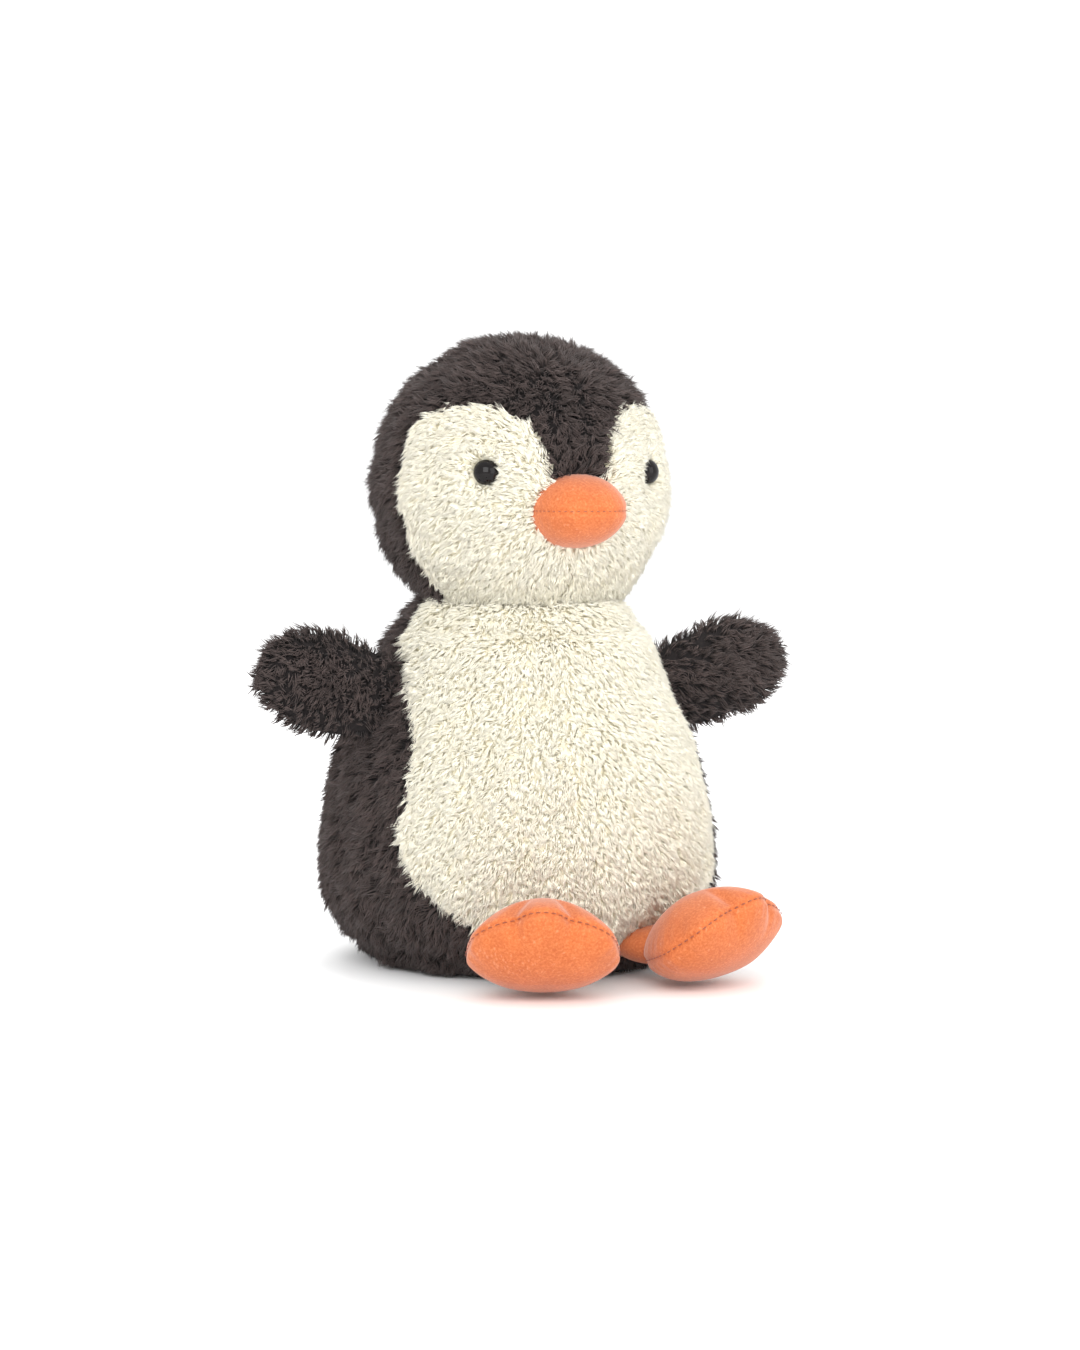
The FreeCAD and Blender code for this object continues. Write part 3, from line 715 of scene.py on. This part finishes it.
def stitches(name, points, normals, body, length=1.5 * MM, gap=1.0 * MM, radius=0.16 * MM):
    """Short threads laid along a line of points with their outward normals. STITCH_RINGS says, for
    each ring of a thread, its share of the length, its lifts off the line and its share of the radius."""
    share, lifts, thick = np.array(STITCH_RINGS).T
    rings = len(share)
    last = STITCH_SIDES * (rings - 1)
    step = np.linalg.norm(np.diff(points, axis=0), axis=1)
    far = np.concatenate([[0], np.cumsum(step)])
    starts = np.arange(gap, far[-1] - length, length + gap)
    verts, faces = [], []
    for begin in starts:
        at = begin + length * share
        middle = np.stack([np.interp(at, far, points[:, c]) for c in range(3)], axis=-1)
        out = unit(np.stack([np.interp(at, far, normals[:, c]) for c in range(3)], axis=-1))
        middle = middle + out * (lifts * STITCH_LIFT)[:, None]
        way = unit(np.gradient(middle, axis=0))
        side = unit(np.cross(way, out))
        start = len(verts)
        for k in range(rings):
            for c in range(STITCH_SIDES):
                a = FULL_TURN * c / STITCH_SIDES
                off = math.cos(a) * side[k] + math.sin(a) * out[k]
                verts.append(middle[k] + radius * thick[k] * off)
        for k in range(rings - 1):
            a = start + STITCH_SIDES * k
            b = a + STITCH_SIDES
            for c in range(STITCH_SIDES):
                d = (c + 1) % STITCH_SIDES
                faces += [(a + c, a + d, b + d), (a + c, b + d, b + c)]
        end = start + last
        for c in range(1, STITCH_SIDES - 1):
            faces += [(start, start + c + 1, start + c), (end, end + c, end + c + 1)]
    piece = new_mesh(name, np.array(verts), np.array(faces), 3, [THREAD])
    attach(piece, body)


def place_points(points, origin, axes):
    """Points in a pad's frame, moved to the model's frame."""
    return np.array(origin) + points @ np.array(axes)


def tidy_seam(piece, seam, draw):
    """Draws the seam in a little, so that the two sides roll over it. Returns its line and normals."""
    co = np.array([v.co for v in piece.data.vertices])
    normals = np.array([v.normal for v in piece.data.vertices])
    co[seam] -= normals[seam] * draw
    piece.data.vertices.foreach_set("co", co.astype(np.float32).ravel())
    piece.data.update()
    return co[seam], normals[seam]


def smooth_out(piece):
    """Subdivides a pad twice and applies it."""
    modifier = piece.modifiers.new("Round", "SUBSURF")
    modifier.levels = modifier.render_levels = 2
    graph = bpy.context.evaluated_depsgraph_get()
    mesh = bpy.data.meshes.new_from_object(piece.evaluated_get(graph))
    piece.modifiers.remove(modifier)
    old = piece.data
    piece.data = mesh
    bpy.data.meshes.remove(old)
    for polygon in piece.data.polygons:
        polygon.use_smooth = True


ANKLE = (16 * MM, 11 * MM, 6.5 * MM)  # half its length, width and height


def ankle(side, heel, level, across):
    """A foot's sewn root: a rounded suede neck that reaches from inside the heel into the belly."""
    ball = bmesh.new()
    bmesh.ops.create_icosphere(ball, subdivisions=4, radius=1.0)
    ball.verts.index_update()
    points = np.array([v.co for v in ball.verts])
    tris = np.array([[v.index for v in face.verts] for face in ball.faces])
    ball.free()
    middle = heel - level * 9 * MM + UP * 1.5 * MM
    along, aside, upwards = ANKLE
    world = place_points(points, middle, [level * along, across * aside, UP * upwards])
    piece = new_mesh(f"foot_{side}_root", world, tris, 3, [SUEDE])
    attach(piece, "torso")


def foot(side):
    """A webbed foot: two suede panels sewn round three toes, stuffed, the sole the deeper one."""
    joint = JOINTS[f"foot_{side}_tilt"]
    level = unit(np.cross(np.array(joint["axis"]), UP))
    if level[1] > 0:
        level = -level
    pitch = math.radians(30)
    along = level * math.cos(pitch) + UP * math.sin(pitch)
    across = unit(np.cross(UP, level))
    normal = unit(np.cross(along, across))
    heel = np.array(joint["pos_m"])
    toes = np.radians([-60.0, 0.0, 60.0])
    notches = np.radians([-26.0, 26.0])
    corners = np.radians([-92.0, 92.0])

    def near(angle, spots, wide):
        gap = (angle[:, None] - spots[None] + math.pi) % FULL_TURN - math.pi
        return np.exp(-(gap / math.radians(wide)) ** 2)

    def outline(p, angle):
        c, s = np.cos(angle), np.sin(angle)
        base = 1 / np.sqrt((c / np.where(c > 0, 21.5, 24.0)) ** 2 + (s / 23.0) ** 2)
        toe = near(angle, toes, 17) @ np.array([3.0, 2.0, 3.0])
        notch = near(angle, notches, 7).sum(axis=1) * 1.8
        corner = near(angle, corners, 17).sum(axis=1) * 1.9
        return (base + (toe - notch) * p ** 5 + corner * p ** 3) * MM

    def height(p, angle):
        dome = (1 - p ** 2.3) ** 0.62
        front = np.clip(np.cos(angle), 0, 1)
        crease = near(angle, notches, 8).sum(axis=1) * np.clip((p - 0.45) / 0.5, 0, 1)
        top = 12.5 * dome * (1 - 0.20 * front * p) * (1 - 0.50 * crease)
        sole = 15.5 * dome * (1 - 0.10 * front * p)
        pucker = 0.28 * np.sin(31 * angle + 2.0 * np.sin(3 * angle)) * math.exp(-((1 - p) / 0.10) ** 2)
        return (top + pucker) * MM, (sole + pucker) * MM

    points, tris, seam = pad_points(outline, height)
    points[:, 2] -= 4.5 * MM * (points[:, 1] / (23 * MM)) ** 2  # the corners hang down
    middle = heel + along * 16.5 * MM + normal * 1.0 * MM
    world = place_points(points, middle, [along, across, normal])
    piece = new_mesh(f"foot_{side}_suede", world, tris, 3, [SUEDE])
    puff(piece, seam, 1.2 * MM)
    line, out = tidy_seam(piece, seam, 0.9 * MM)
    smooth_out(piece)
    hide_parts(f"foot_{side}_top", f"foot_{side}_sole", f"foot_{side}_filling")
    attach(piece, f"foot_{side}")
    order = np.roll(np.arange(SPOKES), SPOKES // 2)
    stitches(f"foot_{side}_stitches", line[order] + out[order] * 0.35 * MM, out[order], f"foot_{side}")
    ankle(side, heel, level, across)


def beak():
    """Two suede halves sewn round a blunt pouch, the seam across its middle."""
    low, high = node_box("beak_upper", "beak_lower")
    seam_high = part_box("beak_upper")[0][2]
    half_wide = (high[0] - low[0]) / 2
    half_long = 21 * MM
    blunt = 2.4  # 2 would make it an ellipse

    def outline(_, angle):
        ahead = np.abs(np.cos(angle) / half_long) ** blunt
        aside = np.abs(np.sin(angle) / (half_wide + 0.6 * MM)) ** blunt
        return (ahead + aside) ** (-1 / blunt)

    def height(p, angle):
        dome = (1 - p ** 2.6) ** 0.60
        front_share = np.clip(np.cos(angle), 0, 1)
        pucker = 0.16 * np.sin(27 * angle) * math.exp(-((1 - p) / 0.12) ** 2)
        upper = 12.3 * dome * (1 - 0.10 * front_share * p) + pucker
        lower = 12.6 * dome * (1 - 0.16 * front_share * p) + pucker
        return upper * MM, lower * MM

    points, tris, seam = pad_points(outline, height)
    centre = np.array([0.0, low[1] + half_long, seam_high])
    axes = [np.array([0.0, -1.0, 0.0]), np.array([1.0, 0.0, 0.0]), UP]
    world = place_points(points, centre, axes)
    piece = new_mesh("beak_suede", world, tris, 3, [SUEDE])
    puff(piece, seam, 0.7 * MM)
    line, out = tidy_seam(piece, seam, 0.7 * MM)
    smooth_out(piece)
    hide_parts("beak_upper", "beak_lower", "beak_filling")
    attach(piece, "head")
    order = np.roll(np.arange(SPOKES), SPOKES // 2)
    seen = order[SPOKES // 4 - 4: 3 * SPOKES // 4 + 5]
    stitches("beak_stitches", line[seen] + out[seen] * 0.30 * MM, out[seen], "head",
             length=1.0 * MM, gap=1.2 * MM, radius=0.11 * MM)


for side in ("left", "right"):
    foot(side)
beak()


def eye_material():
    """Glossy black plastic."""
    kit = Nodes("eye_black", Roughness=0.06, Coat_Weight=0.08, Coat_Roughness=0.04,
                Specular_IOR_Level=0.16)
    where = kit.add("ShaderNodeTexCoord").outputs["Object"]
    faint = kit.add("ShaderNodeTexNoise", {"Vector": where, "Scale": 300.0})
    stops = [(0.3, (0.004, 0.003, 0.003)), (0.7, (0.010, 0.008, 0.008))]
    kit.drive("Base Color", kit.ramp(faint.outputs["Fac"], stops))
    return kit.material


def paint(node, material):
    """Gives a CAD node one material."""
    materials = bpy.data.objects[node].data.materials
    materials.clear()
    materials.append(material)


EYE = eye_material()
for name in ("eye_left", "eye_right"):
    paint(name, EYE)


# ---------------------------------------------------------------- the label and what is inside


def noise_material(name, scale, low, high, bump=0.3, **plain):
    """A plain material with a grain, for parts that are mostly hidden."""
    kit = Nodes(name, **plain)
    where = kit.add("ShaderNodeTexCoord").outputs["Object"]
    grain = kit.add("ShaderNodeTexNoise", {"Vector": where, "Scale": scale, "Detail": 4.0})
    kit.drive("Base Color", kit.ramp(grain.outputs["Fac"], [(0.3, low), (0.7, high)]))
    raised = kit.add("ShaderNodeBump", {"Height": grain.outputs["Fac"], "Strength": bump, "Distance": 0.0005})
    kit.drive("Normal", raised.outputs["Normal"])
    return kit.material


def weave_material(name, scale, low, high):
    """A plain weave: threads both ways."""
    kit = Nodes(name, Roughness=0.75, Sheen_Weight=0.2)
    where = kit.add("ShaderNodeTexCoord").outputs["Object"]
    warp = kit.add("ShaderNodeTexWave", {"Vector": where, "Scale": scale}, bands_direction="Z")
    weft = kit.add("ShaderNodeTexWave", {"Vector": where, "Scale": scale}, bands_direction="Y")
    both = kit.mix("MULTIPLY", 1.0, warp.outputs["Color"], weft.outputs["Color"])
    kit.drive("Base Color", kit.ramp(both, [(0.0, low), (0.6, high)]))
    raised = kit.add("ShaderNodeBump", {"Height": both, "Strength": 0.3, "Distance": 0.0002})
    kit.drive("Normal", raised.outputs["Normal"])
    return kit.material


INNER = {
    "fibre": noise_material("fibre", 260.0, (0.72, 0.72, 0.71), (0.88, 0.88, 0.87), Roughness=0.95),
    "pouch_cloth": weave_material("pouch_weave", 500.0, (0.55, 0.54, 0.50), (0.78, 0.77, 0.73)),
    "pellets": noise_material("pellets", 420.0, (0.45, 0.44, 0.41), (0.80, 0.79, 0.75), 1.0, Roughness=0.4),
    "washer_plastic": noise_material("washer_plastic", 150.0, (0.70, 0.70, 0.68), (0.78, 0.78, 0.76), 0.05,
                                     Roughness=0.35),
}
for row in frame["record"]["subparts"]:
    if row["material_slot"] in INNER:
        paint(row["node"], INNER[row["material_slot"]])


def label():
    """A blank ribbon folded in two, its ends sewn into the back seam."""
    low, high = node_box("sewn_label")
    deep = high[1] - low[1]
    ply = 0.30 * MM
    fold = 0.26 * MM  # radius of the fold
    out = np.linspace(0, 1, 14)
    sway = 0.9 * MM * out ** 2
    near = [(low[1] + deep * t, fold + s) for t, s in zip(out, sway)]
    end_y, end_x = near[-1]
    bend = [(end_y + fold * math.sin(a), end_x - fold + fold * math.cos(a))
            for a in np.linspace(0, math.pi, 7)[1:-1]]
    far = [(y, x - 2 * fold) for y, x in near[::-1]]
    path = np.array(near + bend + far)
    way = unit(np.gradient(path, axis=0))
    off = np.stack([-way[:, 1], way[:, 0]], axis=-1) * ply / 2
    loop = np.concatenate([path + off, (path - off)[::-1]])
    levels = np.linspace(low[2], high[2], 18)
    verts = np.array([(x, y, z) for z in levels for y, x in loop])
    n = len(loop)
    faces = []
    for k in range(len(levels) - 1):
        a, b = k * n, (k + 1) * n
        for c in range(n):
            d = (c + 1) % n
            faces += [(a + c, a + d, b + d), (a + c, b + d, b + c)]
    half = n // 2
    for base, flip in ((0, False), ((len(levels) - 1) * n, True)):
        for c in range(half - 1):
            a, b, d, e = base + c, base + c + 1, base + n - 2 - c, base + n - 1 - c
            for tri in ((a, d, b), (a, e, d)):
                faces.append(tri[::-1] if flip else tri)
    look = weave_material("label_ribbon", 1500.0, (0.70, 0.69, 0.66), (0.90, 0.89, 0.86))
    piece = new_mesh("label_ribbon", verts, np.array(faces), 3, [look])
    fix = bmesh.new()
    fix.from_mesh(piece.data)
    bmesh.ops.recalc_face_normals(fix, faces=fix.faces)
    fix.to_mesh(piece.data)
    fix.free()
    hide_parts("sewn_label")
    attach(piece, "torso")


label()


# ---------------------------------------------------------------- studio


CAMERA_FAR = 1.15  # from the picture's centre to the camera, in metres
PICTURE_WIDE = 0.3726  # what the picture's width covers at that distance, in metres
SENSOR = 36.0


def studio():
    """A white floor, a pale world, three soft lamps and the camera."""
    scene = bpy.context.scene
    scene.view_settings.view_transform = "Standard"
    mesh = bpy.data.meshes.new("floor")
    reach = 60.0
    corners = [(-reach, -reach, 0), (reach, -reach, 0), (reach, reach, 0), (-reach, reach, 0)]
    mesh.from_pydata(corners, [], [(0, 1, 2, 3)])
    floor = bpy.data.objects.new("floor", mesh)
    scene.collection.objects.link(floor)
    kit = Nodes("floor_paper", Roughness=0.9)
    where = kit.add("ShaderNodeTexCoord").outputs["Object"]
    grain = kit.add("ShaderNodeTexNoise", {"Vector": where, "Scale": 40.0})
    stops = [(0.0, (0.92, 0.92, 0.92)), (1.0, (0.94, 0.94, 0.94))]
    kit.drive("Base Color", kit.ramp(grain.outputs["Fac"], stops))
    mesh.materials.append(kit.material)

    world = bpy.data.worlds.new("studio")
    world.use_nodes = True
    sky = world.node_tree.nodes["Background"].inputs
    sky["Color"].default_value = (1.0, 1.0, 1.0, 1.0)
    sky["Strength"].default_value = 1.20
    scene.world = world

    for name, place, energy, wide in (
        ("key", (-0.75, -1.1, 0.75), 14.0, 1.0),
        ("fill", (0.6, -1.2, 0.5), 6.5, 1.0),
        ("rim", (0.3, 0.9, 1.1), 8.0, 0.9),
    ):
        lamp = bpy.data.lights.new(name, "AREA")
        lamp.energy = energy
        lamp.size = wide
        thing = bpy.data.objects.new(name, lamp)
        thing.location = place
        way = Vector((0, 0.02, 0.1)) - Vector(place)
        thing.rotation_euler = way.to_track_quat("-Z", "Y").to_euler()
        scene.collection.objects.link(thing)

    azimuth = math.radians(-25)
    elevation = math.radians(4)
    level = math.cos(elevation)
    out = Vector((math.sin(azimuth) * level, -math.cos(azimuth) * level, math.sin(elevation)))
    right = Vector((math.cos(azimuth), math.sin(azimuth), 0))
    up = out.cross(right)
    aim = Vector((0, AXIS_Y, 0)) + right * 0.0079 + up * 0.0973
    camera = bpy.data.cameras.new("camera")
    camera.sensor_fit = "HORIZONTAL"
    camera.sensor_width = SENSOR
    camera.lens = SENSOR * CAMERA_FAR / PICTURE_WIDE
    camera.clip_start = 0.05
    holder = bpy.data.objects.new("camera", camera)
    place = aim + out * CAMERA_FAR
    holder.matrix_world = Matrix((
        (right.x, up.x, out.x, place.x),
        (right.y, up.y, out.y, place.y),
        (right.z, up.z, out.z, place.z),
        (0, 0, 0, 1),
    ))
    scene.collection.objects.link(holder)
    scene.camera = holder


studio()
